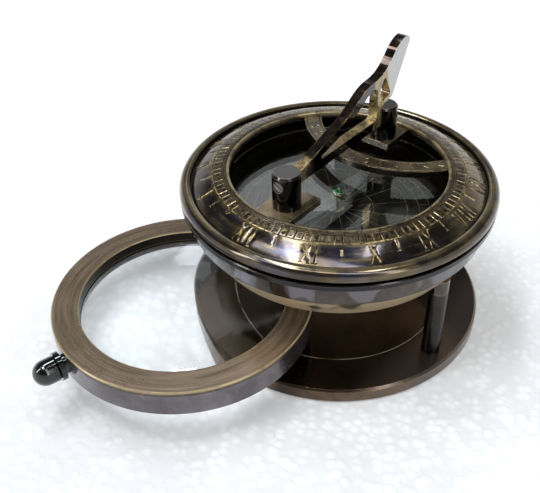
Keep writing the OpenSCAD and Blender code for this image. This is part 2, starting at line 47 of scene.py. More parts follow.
# Sizes of the dial in millimetres, as the CAD has them
INNER_R = 25.6
BAND_R = 34.5
TOP_Z = 41.2
CROWN = 3.2
BRIDGE_Z = 40.4
BRIDGE_H = 1.6
FRONT_TONGUE = (4.5, -12.8)
REAR_TONGUE = (3.7, 15.8)
ARC_CENTRE = (0.0, 30.6)
ARC_IN = 22.0
ARC_OUT = 26.3
BEAD_X = 35.8
BEAD_Z = 37.29
BEAD_R = 1.7

# Places on the other pieces in millimetres, as the CAD has them
BASE_R = 36.8
RECESS_R = 26.7
CASE_Z = 22.4
BELT_Z = 29.1
FLANGE_Z = 34.2
RING_AT = (-18.285, -36.356, 0.0)
RING_R = 31.0
RING_IN = 24.6
JOINT_Z = 15.3
POST_TOP_Z = 49.0
HINGE_Z = 46.5
HEAD_R = 1.2

# Radii of the engraving in millimetres: lines, the minute ladder, half hours, and rear ticks
LIP_LINES = (26.35, 26.8)
LADDER_IN = 27.3
LADDER_OUT = 29.6
CELL_GROOVE = (27.72, 29.12)
HALF_TIP = 32.3
REAR_LINES = (30.5, 31.3, 33.3)
TICKS_OUT = 34.1

# Counts of ladder cells, S curls and parts of a curl, and the degrees where a row starts
LADDER_CELLS = 108
FIRST_CELL = -86
CURLS = 17
FIRST_CURL = 203
CURL_PARTS = 4

# Steps round a circle, round the inner rows of the band's points, and over the bead
RING_STEPS = 480
GRID_STEPS = 240
BEAD_STEPS = 16

# Side of the squares that straight grooves are looked up in, and the least depth that is a cut
LOOKUP = 2
LEAST_CUT = 1e-6

# Kinds of faces on an engraved piece, which are also its material slots
PLAIN, GOLD_CUT, DARK_CUT = 0, 1, 2

# Edges are sharp from this angle on, in degrees
SHARP_ANGLE = 28


class Nodes:
    """A short way to write the node tree of a material or of the world."""

    def __init__(self, owner, output):
        owner.use_nodes = True
        self.owner = owner
        self.tree = owner.node_tree
        self.tree.nodes.clear()
        self.out = self.new(output)

    def new(self, kind, inputs=None, **props):
        """A new node with its properties set and its inputs set or linked."""
        node = self.tree.nodes.new(kind)
        for key, value in props.items():
            setattr(node, key, value)
        for key, value in (inputs or {}).items():
            self.put(node.inputs[key], value)
        return node

    def put(self, socket, value):
        """Links an input to another node's output, or sets its value."""
        if isinstance(value, bpy.types.NodeSocket):
            self.tree.links.new(value, socket)
        elif isinstance(value, (tuple, list)) and len(value) == 3 and socket.type == "RGBA":
            socket.default_value = (*value, 1.0)
        else:
            socket.default_value = value

    def math(self, op, a, b=0.0, clamp=False):
        node = self.new("ShaderNodeMath", operation=op, use_clamp=clamp)
        self.put(node.inputs[0], a)
        self.put(node.inputs[1], b)
        return node.outputs[0]

    def times(self, first, *others):
        """The product of all values."""
        for value in others:
            first = self.math("MULTIPLY", first, value)
        return first

    def most(self, first, *others):
        """The largest of all values."""
        for value in others:
            first = self.math("MAXIMUM", first, value)
        return first

    def vec(self, op, a, b=(0, 0, 0), out=0):
        node = self.new("ShaderNodeVectorMath", operation=op)
        self.put(node.inputs[0], a)
        self.put(node.inputs[1], b)
        return node.outputs[out]

    def split(self, vector):
        """The x, y and z of a vector."""
        return self.new("ShaderNodeSeparateXYZ", {0: vector}).outputs

    def facing(self):
        """The x, y and z of the surface's normal."""
        return self.split(self.new("ShaderNodeNewGeometry").outputs["Normal"])

    def mix(self, share, a, b):
        """A colour that goes from a to b."""
        node = self.new("ShaderNodeMix", data_type="RGBA")
        self.put(node.inputs[0], share)
        self.put(node.inputs[6], a)
        self.put(node.inputs[7], b)
        return node.outputs[2]

    def blend(self, share, a, b):
        """A number that goes from a to b."""
        node = self.new("ShaderNodeMix", data_type="FLOAT")
        self.put(node.inputs[0], share)
        self.put(node.inputs[2], a)
        self.put(node.inputs[3], b)
        return node.outputs[0]

    def ramp(self, value, low, high, a=0.0, b=1.0):
        """A smooth step from a at low to b at high."""
        node = self.new("ShaderNodeMapRange", {0: value, 1: low, 2: high, 3: a, 4: b})
        node.interpolation_type = "SMOOTHSTEP"
        return node.outputs[0]

    def band(self, value, start, full, fade, end):
        """1 between full and fade, and 0 before start and after end."""
        return self.times(self.ramp(value, start, full), self.ramp(value, fade, end, 1.0, 0.0))

    def place(self):
        """Position on the piece in millimetres."""
        coord = self.new("ShaderNodeTexCoord").outputs["Object"]
        node = self.new("ShaderNodeVectorMath", operation="SCALE")
        self.put(node.inputs[0], coord)
        node.inputs["Scale"].default_value = 1 / MM
        return node.outputs[0]

    def noise(self, at, scale, detail=3.0, rough=0.55, warp=0.0):
        node = self.new("ShaderNodeTexNoise", {"Vector": at, "Scale": scale, "Detail": detail,
                                               "Roughness": rough, "Distortion": warp})
        return node.outputs["Fac"]

    def stretched(self, at, factors):
        return self.vec("MULTIPLY", at, factors)

    def radius(self, at, centre=(0, 0, 0)):
        """Distance from the upright line through a centre."""
        flat = self.vec("MULTIPLY", self.vec("SUBTRACT", at, centre), (1, 1, 0))
        return self.vec("LENGTH", flat, out=1)

    def polar(self, at, centre, along, across, typical=30):
        """Coordinates for marks that run in circles about a centre, and the distance from it."""
        x, y, z = self.split(self.vec("SUBTRACT", at, centre))
        flat = self.new("ShaderNodeCombineXYZ", {0: x, 1: y}).outputs[0]
        radius = self.vec("LENGTH", flat, out=1)
        cosine, sine, _ = self.split(self.vec("NORMALIZE", flat))
        joined = self.new("ShaderNodeCombineXYZ", {
            0: self.times(radius, across),
            1: self.times(cosine, typical * along),
            2: self.math("ADD", self.times(sine, typical * along), self.times(z, across))})
        return joined.outputs[0], radius

    def edges(self, radius_mm, low=0.012, high=0.2):
        """1 near sharp convex or concave edges, 0 on open faces."""
        bevel = self.new("ShaderNodeBevel", samples=6)
        bevel.inputs["Radius"].default_value = radius_mm * MM
        normal = self.new("ShaderNodeNewGeometry").outputs["Normal"]
        dot = self.vec("DOT_PRODUCT", bevel.outputs[0], normal, out=1)
        return self.ramp(self.math("SUBTRACT", 1.0, dot), low, high)

    def bump(self, height, distance_mm, strength, normal=None):
        node = self.new("ShaderNodeBump")
        node.inputs["Strength"].default_value = strength
        node.inputs["Distance"].default_value = distance_mm * MM
        self.put(node.inputs["Height"], height)
        if normal is not None:
            self.put(node.inputs["Normal"], normal)
        return node.outputs[0]

    def rounded(self, radius_mm):
        """The normal as if sharp edges were rounded."""
        bevel = self.new("ShaderNodeBevel", samples=4)
        bevel.inputs["Radius"].default_value = radius_mm * MM
        return bevel.outputs[0]

    def surface(self, **inputs):
        """Ends a material with a principled surface."""
        node = self.new("ShaderNodeBsdfPrincipled")
        for key, value in inputs.items():
            self.put(node.inputs[key.replace("_", " ")], value)
        self.put(self.out.inputs[0], node.outputs[0])
        return self.owner


def material_nodes(name):
    """The empty node tree of a new material."""
    return Nodes(bpy.data.materials.new(name), "ShaderNodeOutputMaterial")


def aged_metal(name, dark, mid, rubbed, rough=(0.12, 0.28), wear=0.6, edge_mm=0.35, grain=None,
               coat=0.5, blotch=0.16, contrast=1.0, painted_sheen=None, scratch=0.4, metal=1.0, zone=None,
               coat_rough=0.06):
    """Lacquered antique bronze: dark patina, faint blotches, bright metal on rubbed edges.

    grain is the centre of brushed circles. A sheen colour, when given, is painted sheen in soft
    areas. zone(n, at, grit) may add layers of (mask, colour, roughness, metal) for places that are
    worn in their own way and for painted light and shade.
    """
    n = material_nodes(name)
    at = n.place()
    big = n.noise(at, blotch, 4.0, 0.6, 0.3)
    fine = n.noise(at, 1.7, 5.0, 0.65)
    grit = n.noise(at, 6.0, 3.0, 0.7)
    colour = n.mix(n.ramp(big, 0.36, 0.68, 0.0, contrast), dark, mid)
    if painted_sheen is not None:
        # Painted sheen: a bluish colour in soft areas stands in for reflected light.
        sheen = n.ramp(n.noise(at, blotch * 0.6 + 0.02, 2.0), 0.46, 0.66, 0.0, 0.75)
        colour = n.mix(sheen, colour, painted_sheen)
    shine = n.ramp(n.math("ADD", n.times(fine, 0.6), n.times(big, 0.4)), 0.35, 0.7, *rough)
    marks = n.noise(n.stretched(at, (0.35, 5.0, 5.0)), 1.3, 2.0)
    height = n.math("ADD", n.times(fine, 0.4), n.times(marks, scratch))
    if grain is not None:
        rings, _ = n.polar(at, grain, 0.02, 9.0)
        brushed = n.noise(rings, 1.0, 3.0, 0.7)
        height = n.math("ADD", height, n.times(brushed, 1.2))
        colour = n.mix(n.ramp(brushed, 0.35, 0.75, 0.0, 0.5), colour, mid)
    for mask, paint, matt, share in (zone(n, at, grit) if zone else ()):
        colour = n.mix(mask, colour, paint)
        shine = n.blend(mask, shine, matt)
        metal = n.blend(mask, metal, share)
    broken = n.ramp(n.math("ADD", fine, n.times(grit, 0.5)), 0.55, 0.95, 0.2, 1.0)
    worn = n.math("MULTIPLY", n.times(n.edges(edge_mm), broken), wear, clamp=True)
    colour = n.mix(worn, colour, rubbed)
    normal = n.bump(height, 0.008, 0.5, n.rounded(0.12))
    return n.surface(Base_Color=colour, Metallic=metal, Roughness=shine, Normal=normal,
                     Coat_Weight=coat, Coat_Roughness=coat_rough, Coat_IOR=1.45)


def dial_zones(n, at, grit):
    """Streaks round the band, painted blue sheen, a matt ladder, rubbed lip, bead, rim and back, and
    painted shade in the hollow.
    """
    rings, radius = n.polar(at, (0, 0, 0), 0.06, 1.0)
    x, y, z = n.split(at)
    soft = n.noise(at, 0.22, 3.0, 0.6)
    streak = n.noise(rings, 1.0, 4.0, 0.6)
    brass = n.times(n.ramp(streak, 0.42, 0.66), n.ramp(soft, 0.40, 0.58, 0.0, 0.85))
    # Painted sheen: bluish streaks round the band stand in for reflected light.
    painted_blue_sheen = n.times(n.ramp(streak, 0.48, 0.34), n.ramp(soft, 0.55, 0.42, 0.0, 0.8))
    ladder = n.times(n.band(radius, LADDER_IN - 1.0, LADDER_IN - 0.5,
                            LADDER_OUT + 0.2, LADDER_OUT + 1.2),
                     n.ramp(n.math("ADD", soft, grit), 0.75, 1.2, 0.15, 0.75))
    back = n.times(n.ramp(n.math("ADD", x, y), 18.0, 44.0),
                   n.band(radius, INNER_R + 0.1, INNER_R + 0.4, BAND_R - 0.3, BAND_R + 0.4),
                   n.ramp(soft, 0.35, 0.6, 0.2, 0.75))
    bridge = n.ramp(radius, INNER_R + 0.15, INNER_R - 0.1)
    plate = n.times(bridge, n.ramp(y, -10.0, -11.0), n.ramp(soft, 0.3, 0.6, 0.6, 1.0),
                    n.ramp(x, 3.5, -1.5, 0.1, 0.95))
    arc = n.times(bridge, n.ramp(y, -9.0, -8.0, 0.0, 0.85))
    crest = n.times(n.band(radius, BEAD_X - 1.1, BEAD_X - 0.6, BEAD_X - 0.1, BEAD_X + 1.1),
                    n.ramp(n.math("ADD", streak, soft), 0.8, 1.15, 0.35, 0.9))
    rim = n.times(n.ramp(radius, BEAD_X + 0.9, BEAD_X + 1.3), n.ramp(x, -33.0, -16.0, 0.85, 0.1),
                  n.ramp(streak, 0.4, 0.6, 0.3, 1.0))
    lip = n.times(n.ramp(radius, INNER_R + 0.4, INNER_R + 0.9, 1.0, 0.0),
                  n.ramp(z, TOP_Z - 1.2, TOP_Z - 0.4), n.ramp(soft, 0.35, 0.6, 0.35, 0.9))
    # Painted shade: the hollow between band and bead is near black.
    hollow = n.band(radius, BAND_R - 0.1, BAND_R + 0.1, BAND_R + 0.35, BAND_R + 0.55)
    return [(brass, (0.15, 0.11, 0.05), 0.24, 0.85), (painted_blue_sheen, (0.040, 0.042, 0.062), 0.16, 0.9),
            (ladder, (0.16, 0.12, 0.055), 0.3, 0.7), (back, (0.20, 0.15, 0.07), 0.32, 0.6),
            (plate, (0.34, 0.25, 0.16), 0.3, 0.65), (arc, (0.045, 0.036, 0.026), 0.2, 0.9),
            (crest, (0.33, 0.255, 0.135), 0.2, 0.85), (rim, (0.50, 0.385, 0.19), 0.36, 0.6),
            (lip, (0.34, 0.26, 0.13), 0.36, 0.6), (hollow, (0.008, 0.006, 0.005), 0.5, 1.0)]


def case_zones(n, at, grit):
    """Pale painted reflections on the belt, a dark flange over a bright line, and satin brass on the
    bevel.
    """
    z = n.split(at)[2]
    # Painted reflection: pale lilac-grey areas on the belt stand in for the reflected floor.
    patch = n.noise(n.stretched(at, (1.0, 1.0, 0.7)), 0.15, 1.0, 0.4, 0.1)
    painted_reflections = n.times(n.ramp(patch, 0.515, 0.56, 0.0, 0.85),
                      n.ramp(z, BELT_Z + 0.2, BELT_Z + 0.5))
    flange = n.ramp(z, FLANGE_Z - 0.3, FLANGE_Z - 0.1)
    line = n.times(n.band(z, FLANGE_Z - 0.7, FLANGE_Z - 0.5, FLANGE_Z - 0.25, FLANGE_Z - 0.1),
                   n.ramp(grit, 0.4, 0.6, 0.2, 0.9))
    bevel = n.times(n.band(z, CASE_Z - 0.2, CASE_Z + 0.05, BELT_Z - 0.2, BELT_Z),
                    n.ramp(n.noise(at, 0.12, 3.0), 0.34, 0.42, 0.55, 1.0),
                    n.ramp(n.facing()[2], -0.4, -0.2, 1.0, 0.0))
    return [(painted_reflections, (0.145, 0.135, 0.15), 0.16, 1.0), (flange, (0.016, 0.016, 0.019), 0.22, 1.0),
            (line, (0.5, 0.38, 0.2), 0.35, 0.6), (bevel, (0.70, 0.56, 0.36), 0.5, 0.85)]


def base_zones(n, at, grit):
    """Painted shade on the left side, painted light on a paler right side, a brown rim, and a
    painted highlight along the edge round the shallow recess.
    """
    radius = n.radius(at)
    x = n.split(at)[0]
    # Painted shade: the left side is darker.
    painted_left_shade = n.ramp(x, -18.0, -30.0, 0.0, 0.85)
    # Painted light: the right side is paler.
    pale = n.times(n.ramp(x, 20.0, 32.0, 0.0, 0.7),
                   n.ramp(radius, RECESS_R + 0.3, RECESS_R + 1.3))
    rim = n.times(n.ramp(radius, BASE_R - 0.6, BASE_R - 0.1),
                  n.ramp(n.noise(at, 0.1, 3.0), 0.40, 0.62, 0.1, 0.75))
    # Painted highlight: a bright line along the recess's edge.
    painted_edge_highlight = n.times(n.band(radius, RECESS_R - 0.2, RECESS_R - 0.04,
                          RECESS_R + 0.08, RECESS_R + 0.25),
                   n.ramp(n.noise(at, 0.25, 2.0), 0.3, 0.6, 0.3, 1.0))
    return [(painted_left_shade, (0.026, 0.021, 0.017), 0.22, 0.95), (pale, (0.14, 0.115, 0.105), 0.26, 0.8),
            (rim, (0.17, 0.11, 0.062), 0.3, 0.8), (painted_edge_highlight, (0.75, 0.70, 0.58), 0.35, 0.6)]


# Rays of the card's rose as (count, inner radius, outer radius, half width), and its rings
CARD_RAYS = ((16, 3.0, 17.0, 0.13), (36, 20.2, 22.4, 0.16))
CARD_RINGS = (9.0, 17.2, 20.0, 22.6)


def card_zones(n, at, grit):
    """A rose of fine rays between rings, scratched through the card's dark coat."""
    radius = n.radius(at)
    x, y, _ = n.split(at)
    turn = n.math("ARCTAN2", y, x)
    lines = []
    for count, low, high, width in CARD_RAYS:
        away = n.times(n.math("PINGPONG", turn, TAU / count / 2), radius)
        lines.append(n.times(n.ramp(away, width, 0.4 * width),
                             n.band(radius, low, low + 0.2, high, high + 0.2)))
    for r in CARD_RINGS:
        lines.append(n.ramp(n.math("ABSOLUTE", n.math("SUBTRACT", radius, r)), 0.14, 0.06))
    faint = n.ramp(n.noise(at, 0.35, 4.0, 0.7), 0.4, 0.62, 0.25, 1.0)
    return [(n.times(n.most(*lines), faint), (0.17, 0.16, 0.13), 0.45, 0.5)]


def cap_zones(n, at, grit):
    """Brushed streaks, thin gold lines on the cap ring's edges, and painted shade at the joint and
    on the inner wall.
    """
    rings, radius = n.polar(at, RING_AT, 0.05, 1.6)
    z = n.split(at)[2]
    up = n.ramp(n.facing()[2], 0.3, 0.6)
    streak = n.noise(rings, 1.0, 4.0, 0.65)
    dirt = n.ramp(n.math("ADD", streak, n.times(grit, 0.5)), 0.62, 0.95, 0.0, 0.65)
    edge = n.most(n.ramp(radius, RING_R - 0.34, RING_R - 0.2),
                  n.ramp(radius, RING_IN + 0.12, RING_IN + 0.25, 1.0, 0.0))
    line = n.times(edge, up, n.ramp(n.noise(at, 0.5, 3.0), 0.3, 0.6, 0.35, 1.0))
    # Painted shade: the joint and the inner wall, where it does not face up, are near black.
    joint = n.times(n.ramp(z, JOINT_Z + 0.28, JOINT_Z + 0.18),
                    n.ramp(radius, RING_R - 1.0, RING_R - 0.5))
    wall = n.times(n.ramp(radius, RING_IN + 0.6, RING_IN + 0.4), n.math("SUBTRACT", 1.0, up))
    return [(dirt, (0.070, 0.046, 0.034), 0.3, 0.75), (line, (0.44, 0.34, 0.18), 0.4, 0.6),
            (n.most(joint, wall), (0.022, 0.016, 0.013), 0.35, 0.8)]


def frame_zones(n, at, grit):
    """Long dark scratches on the side, painted shade in the joint and on the inner wall."""
    radius = n.radius(at, RING_AT)
    z = n.split(at)[2]
    long_marks = n.noise(n.stretched(at, (0.25, 0.25, 2.6)), 1.1, 4.0, 0.7, 0.6)
    marks = n.times(n.ramp(long_marks, 0.62, 0.7, 0.0, 0.8),
                    n.ramp(n.noise(at, 0.08, 2.0), 0.45, 0.6))
    # Painted shade: the joint and the inner wall are darkened.
    joint = n.times(n.ramp(z, JOINT_Z - 0.3, JOINT_Z - 0.2),
                    n.ramp(radius, RING_R - 1.0, RING_R - 0.5))
    wall = n.ramp(radius, RING_IN + 1.2, RING_IN + 0.7)
    return [(marks, (0.035, 0.030, 0.034), 0.35, 0.8), (joint, (0.02, 0.016, 0.015), 0.5, 0.8),
            (wall, (0.030, 0.024, 0.022), 0.3, 0.9)]


def post_zones(n, at, grit):
    """Pale tops as painted reflection, and painted shade in the recesses of the hinge screws."""
    # Painted reflection: the tops are pale grey.
    top = n.times(n.ramp(n.split(at)[2], POST_TOP_Z - 0.1, POST_TOP_Z - 0.03),
                  n.ramp(grit, 0.3, 0.6, 0.75, 1.0))
    # Painted shade: the recess round each hinge screw is near black.
    aside = n.vec("MULTIPLY", n.vec("SUBTRACT", at, (0, 0, HINGE_Z)), (1, 0, 1))
    recess = n.ramp(n.vec("LENGTH", aside, out=1), HEAD_R + 0.3, HEAD_R + 0.1)
    return [(top, (0.16, 0.155, 0.145), 0.3, 0.9), (recess, (0.006, 0.005, 0.005), 0.6, 0.5)]


def sail_zones(n, at, grit):
    """A dark leg, gold on the gnomon's neck, sill and foot, and painted reflection on the sail's
    pale broad faces.
    """
    _, y, z = n.split(at)
    sideways, _, upward = n.facing()
    broad = n.math("GREATER_THAN", n.math("ABSOLUTE", sideways), 0.7)
    soft = n.noise(at, 0.35, 3.0, 0.6)
    leg = n.times(broad, n.ramp(y, 12.0, 11.0))
    behind = n.ramp(y, 12.0, 12.8)
    neck = n.most(n.times(behind, n.ramp(z, 56.5, 57.5, 1.0, 0.0), n.ramp(y, 18.6, 19.4, 1.0, 0.0)),
                  n.times(broad, behind))
    sill = n.times(n.math("GREATER_THAN", upward, 0.1), n.band(z, 46.9, 47.1, 47.5, 47.9))
    rubbed = n.times(n.most(neck, sill), n.ramp(n.math("ADD", grit, soft), 0.75, 1.15, 0.25, 1.0))
    foot = n.times(n.ramp(y, -10.5, -13.5), n.ramp(soft, 0.35, 0.6, 0.3, 1.0))
    # Painted reflection: the sail's broad faces are pale grey.
    sail = n.times(broad, n.ramp(n.math("ADD", y, n.times(z, 0.25)), 31.5, 32.5))
    return [(leg, (0.02, 0.015, 0.012), 0.12, 1.0), (rubbed, (0.42, 0.32, 0.13), 0.34, 0.7),
            (foot, (0.26, 0.19, 0.08), 0.34, 0.7), (sail, (0.40, 0.39, 0.375), 0.24, 1.0)]


def gold_engraving(name, colour, dark, rough=0.35):
    """The bare brass in a cut line, broken by dirt."""
    n = material_nodes(name)
    at = n.place()
    dirt = n.ramp(n.noise(at, 0.9, 5.0, 0.65), 0.40, 0.60)
    grit = n.noise(at, 9.0, 2.0)
    return n.surface(Base_Color=n.mix(dirt, colour, dark), Metallic=1.0,
                     Roughness=n.ramp(grit, 0.3, 0.7, rough - 0.1, rough + 0.15),
                     Normal=n.bump(grit, 0.02, 0.5), Coat_Weight=0.3, Coat_Roughness=0.2)


def clear_glass(name, colour, rough):
    """Glass with a faint wave in its surface and a faint cloud in its colour."""
    n = material_nodes(name)
    at = n.place()
    cloud = n.ramp(n.noise(at, 0.12, 2.0), 0.3, 0.7)
    body = n.mix(cloud, colour, tuple(0.97 * c for c in colour))
    return n.surface(Base_Color=body, Roughness=rough, Transmission_Weight=1.0, IOR=1.47,
                     Normal=n.bump(n.noise(at, 0.05, 1.0), 0.02, 0.15))


def green_stone(name):
    """A dark green polished stone with paler cells."""
    n = material_nodes(name)
    at = n.place()
    cells = n.new("ShaderNodeTexVoronoi", {"Vector": at, "Scale": 2.2}, feature="F1")
    away = cells.outputs["Distance"]
    inside = n.mix(n.ramp(away, 0.15, 0.75), (0.0, 0.006, 0.003), (0.002, 0.075, 0.024))
    return n.surface(Base_Color=inside, Roughness=n.ramp(n.noise(at, 3.0), 0.3, 0.7, 0.04, 0.14),
                     Specular_IOR_Level=0.8, Coat_Weight=1.0, Coat_Roughness=0.03, IOR=1.6,
                     Normal=n.bump(away, 0.15, 0.4))


def floor_board():
    """A pale board of pressed foam beads that melts into the white background far away."""
    n = material_nodes("foam_board")
    at = n.place()
    beads = n.new("ShaderNodeTexVoronoi", {"Vector": at, "Scale": 0.42}, feature="F1")
    swell = n.ramp(beads.outputs["Distance"], 0.0, 0.75, 1.0, 0.0)
    mottle = n.noise(at, 0.02, 5.0, 0.65)
    tone = n.math("ADD", n.times(mottle, 0.8), n.times(swell, 0.16))
    near = n.mix(n.ramp(tone, 0.34, 0.66), (0.50, 0.50, 0.50), (0.66, 0.66, 0.655))
    far = n.vec("LENGTH", n.vec("SUBTRACT", at, (40, -70, 0)), out=1)
    away = n.ramp(far, 300.0, 700.0)
    colour = n.mix(n.ramp(far, 60.0, 210.0), near, (0.76, 0.76, 0.76))
    colour = n.mix(away, colour, (0.0, 0.0, 0.0))
    relief = n.bump(n.math("ADD", swell, n.times(mottle, 3.0)), 0.35, 0.7)
    board = n.new("ShaderNodeBsdfPrincipled",
                  {"Base Color": colour, "Roughness": 0.6, "Normal": relief})
    path = n.new("ShaderNodeLightPath").outputs
    seen = n.most(path["Is Camera Ray"], path["Is Glossy Ray"], path["Is Transmission Ray"])
    glow = n.new("ShaderNodeEmission", {"Color": (0.985, 0.99, 1.0),
                                        "Strength": n.times(seen, n.blend(away, 0.17, 1.0))})
    both = n.new("ShaderNodeAddShader", {0: board.outputs[0], 1: glow.outputs[0]})
    n.put(n.out.inputs[0], both.outputs[0])
    return n.owner


BROWN = (0.055, 0.036, 0.026)
SMOKE = (0.10, 0.078, 0.068)
GOLD = (0.50, 0.36, 0.15)
PALE_GOLD = (0.62, 0.50, 0.28)

MATS = {
    "dial": aged_metal("dial_bronze", (0.018, 0.012, 0.010), (0.055, 0.038, 0.028), GOLD,
                       rough=(0.10, 0.22), coat=0.6, painted_sheen=(0.05, 0.05, 0.08), wear=0.6,
                       metal=0.9, zone=dial_zones, coat_rough=0.09),
    "base": aged_metal("base_bronze", (0.040, 0.026, 0.018), (0.085, 0.056, 0.038), GOLD,
                       rough=(0.16, 0.28), grain=(0, 0, 0), coat=0.3, edge_mm=0.5, blotch=0.08,
                       wear=0.9, zone=base_zones),
    "pillar": aged_metal("pillar_bronze", (0.034, 0.032, 0.029), (0.06, 0.056, 0.051), PALE_GOLD,
                         rough=(0.26, 0.38), coat=0.15, contrast=0.5),
    "frame": aged_metal("frame_bronze", (0.10, 0.086, 0.090), (0.19, 0.17, 0.19), GOLD,
                        rough=(0.16, 0.3), coat=0.4, edge_mm=0.3, blotch=0.1, metal=0.8,
                        zone=frame_zones),
    "cap": aged_metal("cap_bronze", (0.235, 0.172, 0.115), (0.40, 0.305, 0.215), PALE_GOLD,
                      rough=(0.26, 0.38), grain=RING_AT, coat=0.25, edge_mm=0.35, blotch=0.05,
                      contrast=0.5, wear=0.9, metal=0.7, zone=cap_zones),
    "case": aged_metal("case_bronze", (0.055, 0.044, 0.037), (0.085, 0.07, 0.06), PALE_GOLD,
                       rough=(0.08, 0.16), coat=0.5, edge_mm=0.3, zone=case_zones),
    "bowl": aged_metal("bowl_black", (0.006, 0.005, 0.004), (0.018, 0.013, 0.010), BROWN,
                       rough=(0.3, 0.5), coat=0.3, wear=0.3),
    "card": aged_metal("card_bronze", (0.014, 0.011, 0.008), (0.036, 0.030, 0.020), SMOKE,
                       rough=(0.3, 0.45), coat=0.3, scratch=0.0, wear=0.4, zone=card_zones),
    "needle": aged_metal("needle_black", (0.01, 0.01, 0.011), (0.03, 0.03, 0.034), SMOKE,
                         rough=(0.2, 0.35), coat=0.6, wear=0.4),
    "brass": aged_metal("screw_brass", (0.20, 0.14, 0.06), (0.42, 0.31, 0.14), PALE_GOLD,
                        rough=(0.18, 0.34), coat=0.4),
    "pivot": aged_metal("pivot_brass", (0.42, 0.31, 0.13), (0.62, 0.5, 0.26), (0.75, 0.65, 0.4),
                        rough=(0.14, 0.28), coat=0.4),
    "post": aged_metal("post_bronze", (0.018, 0.016, 0.016), (0.05, 0.046, 0.046), (0.6, 0.58, 0.5),
                       rough=(0.13, 0.24), coat=0.4, edge_mm=0.22, wear=0.9, zone=post_zones),
    "gnomon": aged_metal("gnomon_bronze", (0.028, 0.017, 0.013), (0.11, 0.065, 0.042), GOLD,
                         rough=(0.05, 0.15), coat=0.9, edge_mm=0.3, wear=0.75, blotch=0.4,
                         zone=sail_zones),
    "steel": aged_metal("hinge_steel", (0.16, 0.15, 0.14), (0.40, 0.38, 0.35), (0.7, 0.66, 0.56),
                        rough=(0.28, 0.42), coat=0.2, metal=0.55, edge_mm=0.25, wear=0.9),
    "knob": aged_metal("knob_gunmetal", (0.012, 0.015, 0.013), (0.035, 0.04, 0.036), SMOKE,
                       rough=(0.07, 0.16), coat=1.0, edge_mm=0.2, wear=0.3),
    "wire": aged_metal("spring_wire", (0.05, 0.04, 0.03), (0.14, 0.11, 0.08), PALE_GOLD,
                       rough=(0.16, 0.3), coat=0.6),
    "cut": gold_engraving("engraved_gold", (0.46, 0.35, 0.17), (0.045, 0.032, 0.018)),
    "cut_dark": gold_engraving("engraved_dark", (0.13, 0.10, 0.055), (0.012, 0.009, 0.007)),
    "glass": clear_glass("compass_glass_clear", (0.90, 0.95, 0.91), 0.0),
    "lens": clear_glass("lens_glass_clear", (0.815, 0.838, 0.845), 0.05),
    "jewel": green_stone("green_jewel"),
}

NODE_MATS = {
    "base_plate": "base", "base_screws": "brass", "middle_pillar": "pillar",
    "rear_pillar": "pillar", "pivot_lower_spacer": "pillar", "pivot_upper_spacer": "pillar",
    "pivot_bolt": "brass", "magnifier_frame": "frame", "magnifier_cap_ring": "cap",
    "magnifier_lens": "lens", "knob_stud": "steel", "knob_disc": "knob",
    "magnifier_knob": "knob", "compass_case": "case", "compass_bowl": "bowl",
    "compass_card": "card", "needle_pivot": "pivot", "compass_needle": "needle",
    "needle_cap": "pivot", "needle_jewel": "jewel", "compass_glass": "glass",
    "glass_spring_ring": "wire", "dial_ring": "dial", "front_post": "post",
    "rear_post": "post", "post_screws": "brass", "gnomon": "gnomon",
    "front_hinge_screw": "steel", "rear_hinge_screw": "steel",
}


DIAL_MATS = [MATS["dial"], MATS["cut"], MATS["cut_dark"]]


def dress_nodes():
    """Gives each CAD piece its material."""
    for name, key in NODE_MATS.items():
        obj = NODES[name]
        obj.data.materials.clear()
        obj.data.materials.append(MATS[key])


class Cut:
    """A straight V groove from a to b, in millimetres."""

    def __init__(self, a, b, width, depth, gold=True):
        self.a, self.b = Vector(a), Vector(b)
        self.width, self.depth, self.gold = width, depth, gold
        self.long = (self.b - self.a).length
        self.dir = (self.b - self.a).normalized()
        self.side = Vector((-self.dir.y, self.dir.x))

    def outline(self):
        w = self.side * self.width / 2
        return [self.a - w, self.b - w, self.b + w, self.a + w]

    def spine(self):
        """The ends of the groove's deepest line."""
        inset = self.dir * min(self.width / 2, self.long * 0.45)
        return [self.a + inset, self.b - inset]

    def depth_at(self, p):
        d = p - self.a
        along, across = d.dot(self.dir), abs(d.dot(self.side))
        half = self.width / 2
        edge = min(half - across, along, self.long - along)
        return max(0.0, min(1.0, edge / half)) * self.depth


def full_circle(start, end):
    return abs(end - start - TAU) < 1e-6


def arc_points(centre, r, start=0.0, end=TAU, steps=RING_STEPS):
    """Points along a circle, or along a part of one with both of its ends."""
    count = steps if full_circle(start, end) else steps + 1
    return [Vector(centre) + r * Vector((math.cos(a), math.sin(a)))
            for a in (start + (end - start) * i / steps for i in range(count))]


class Circle:
    """A V groove round a circle or part of one, centred at c."""

    def __init__(self, c, r, width, depth, gold=True, start=0.0, end=TAU, steps=RING_STEPS):
        self.c, self.r, self.width, self.depth, self.gold = Vector(c), r, width, depth, gold
        self.start, self.end, self.steps = start, end, steps
        self.closed = full_circle(start, end)

    def rows(self):
        """The groove's inner side, deepest line and outer side."""
        return [arc_points(self.c, self.r + step * self.width, self.start, self.end, self.steps)
                for step in (-0.5, 0.0, 0.5)]

    def depth_at(self, p):
        d = p - self.c
        if not self.closed:
            turn = (math.atan2(d.y, d.x) - self.start) % TAU
            if turn > self.end - self.start:
                return 0.0
        half = self.width / 2
        return max(0.0, 1 - abs(d.length - self.r) / half) * self.depth


def chained(rows):
    """Points and edges of rows of points, each given with whether it closes."""
    points, edges = [], []
    for row, closed in rows:
        first, last = len(points), len(points) + len(row) - 1
        points.extend(row)
        edges.extend((i, i + 1) for i in range(first, last))
        if closed:
            edges.append((last, first))
    return points, edges


